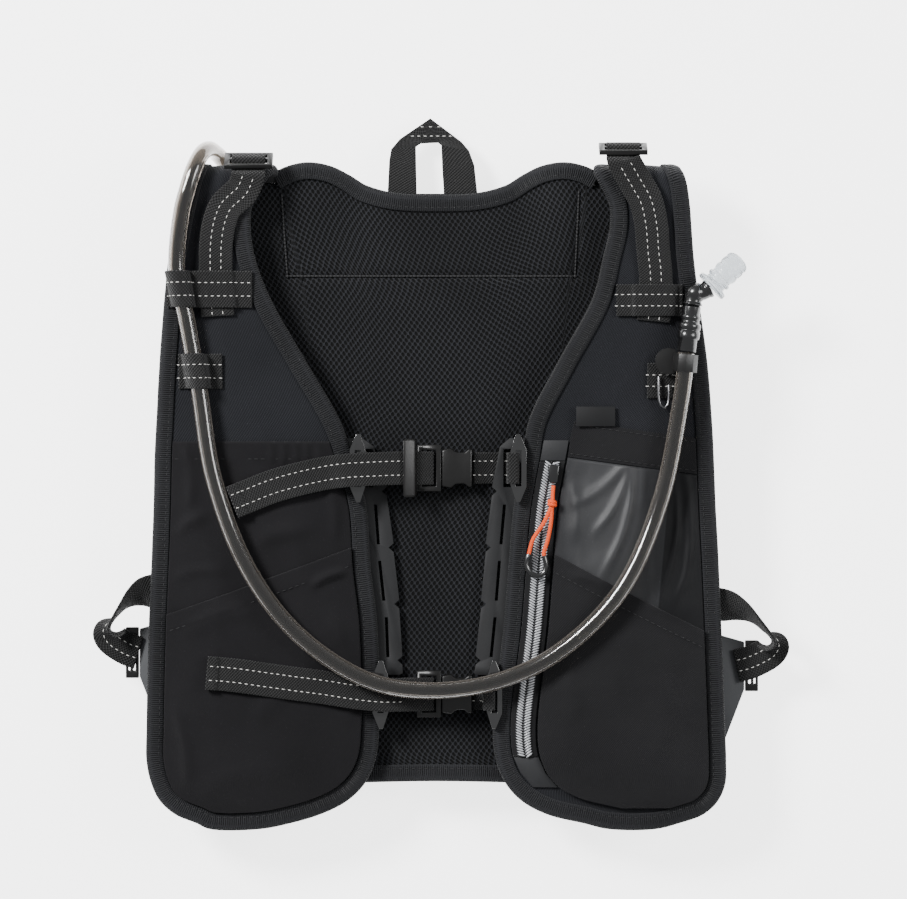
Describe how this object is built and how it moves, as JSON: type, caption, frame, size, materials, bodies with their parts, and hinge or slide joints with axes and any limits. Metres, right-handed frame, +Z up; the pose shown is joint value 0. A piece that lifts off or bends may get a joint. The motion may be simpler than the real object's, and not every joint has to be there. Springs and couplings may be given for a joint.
{
  "type": "running hydration vest",
  "caption": "Light running vest with padded front panels, pockets, chest straps, a rear pouch for a water reservoir, and a drinking hose with a bite valve. Lies flat on its back.",
  "frame": {"origin": "middle of the vest's footprint, on the surface that it lies on", "axes": "+Z up from the surface, +Y from the hem towards the collar, +X towards the side with the bite valve"},
  "size_m": [0.4194, 0.4304, 0.0652],
  "materials": {
    "spacer_mesh": "open black spacer mesh",
    "knit": "matt black padded knit",
    "stretch": "matt black stretch cloth",
    "ripstop": "thin grey ripstop",
    "binding_tape": "ribbed black grosgrain",
    "webbing": "black webbing with white stitching",
    "coated_cloth": "dark grey rubbered cloth",
    "buckle_plastic": "black moulded plastic",
    "zip_coil": "silver grey coil",
    "metal": "bright metal",
    "pull_cord": "orange braided cord",
    "pull_rubber": "black rubber",
    "hose_tube": "clear smoky tube",
    "silicone": "clear silicone"
  },
  "bodies": {
    "root": {"back_panel": "spacer_mesh", "collar_binding": "binding_tape", "hem_binding": "binding_tape", "rear_pouch": "knit", "carry_handle": "webbing", "wing_left": "coated_cloth", "wing_right": "coated_cloth", "wing_lock_left": "buckle_plastic", "wing_lock_right": "buckle_plastic", "side_strap_left": "webbing", "side_strap_right": "webbing", "front_panel_left": "knit", "front_panel_right": "knit", "panel_binding_left": "binding_tape", "panel_binding_right": "binding_tape", "stretch_pocket_left": "stretch", "slant_pocket_left": "stretch", "ripstop_pocket_right": "ripstop", "mouth_band_right": "stretch", "slant_pocket_right": "stretch", "zip_right": "zip_coil", "zip_patch_top": "coated_cloth", "zip_patch_bottom": "coated_cloth", "zip_slider": "metal", "pull_cord": "pull_cord", "pull_grip": "pull_rubber", "label_patch": "binding_tape", "ladder_strip_left": "coated_cloth", "ladder_strip_right": "coated_cloth", "shoulder_lock_left": "buckle_plastic", "shoulder_lock_right": "buckle_plastic", "shoulder_web_left": "webbing", "shoulder_web_right": "webbing", "keeper_upper_left": "webbing", "keeper_lower_left": "webbing", "keeper_right": "webbing", "clip_tab_right": "webbing", "clip_wire": "metal", "hose": "hose_tube", "hose_clip": "buckle_plastic", "hose_connector": "buckle_plastic", "valve_elbow": "buckle_plastic", "bite_valve": "silicone", "toggle_upper_left": "buckle_plastic", "chest_web_upper_left": "webbing", "toggle_upper_right": "buckle_plastic", "chest_web_upper_right": "webbing", "buckle_frame_upper": "buckle_plastic", "buckle_socket_upper": "buckle_plastic", "chest_tail_upper": "webbing", "toggle_lower_left": "buckle_plastic", "chest_web_lower_left": "webbing", "toggle_lower_right": "buckle_plastic", "chest_web_lower_right": "webbing", "buckle_frame_lower": "buckle_plastic", "buckle_socket_lower": "buckle_plastic", "chest_tail_lower": "webbing"}
  },
  "joints": []
}
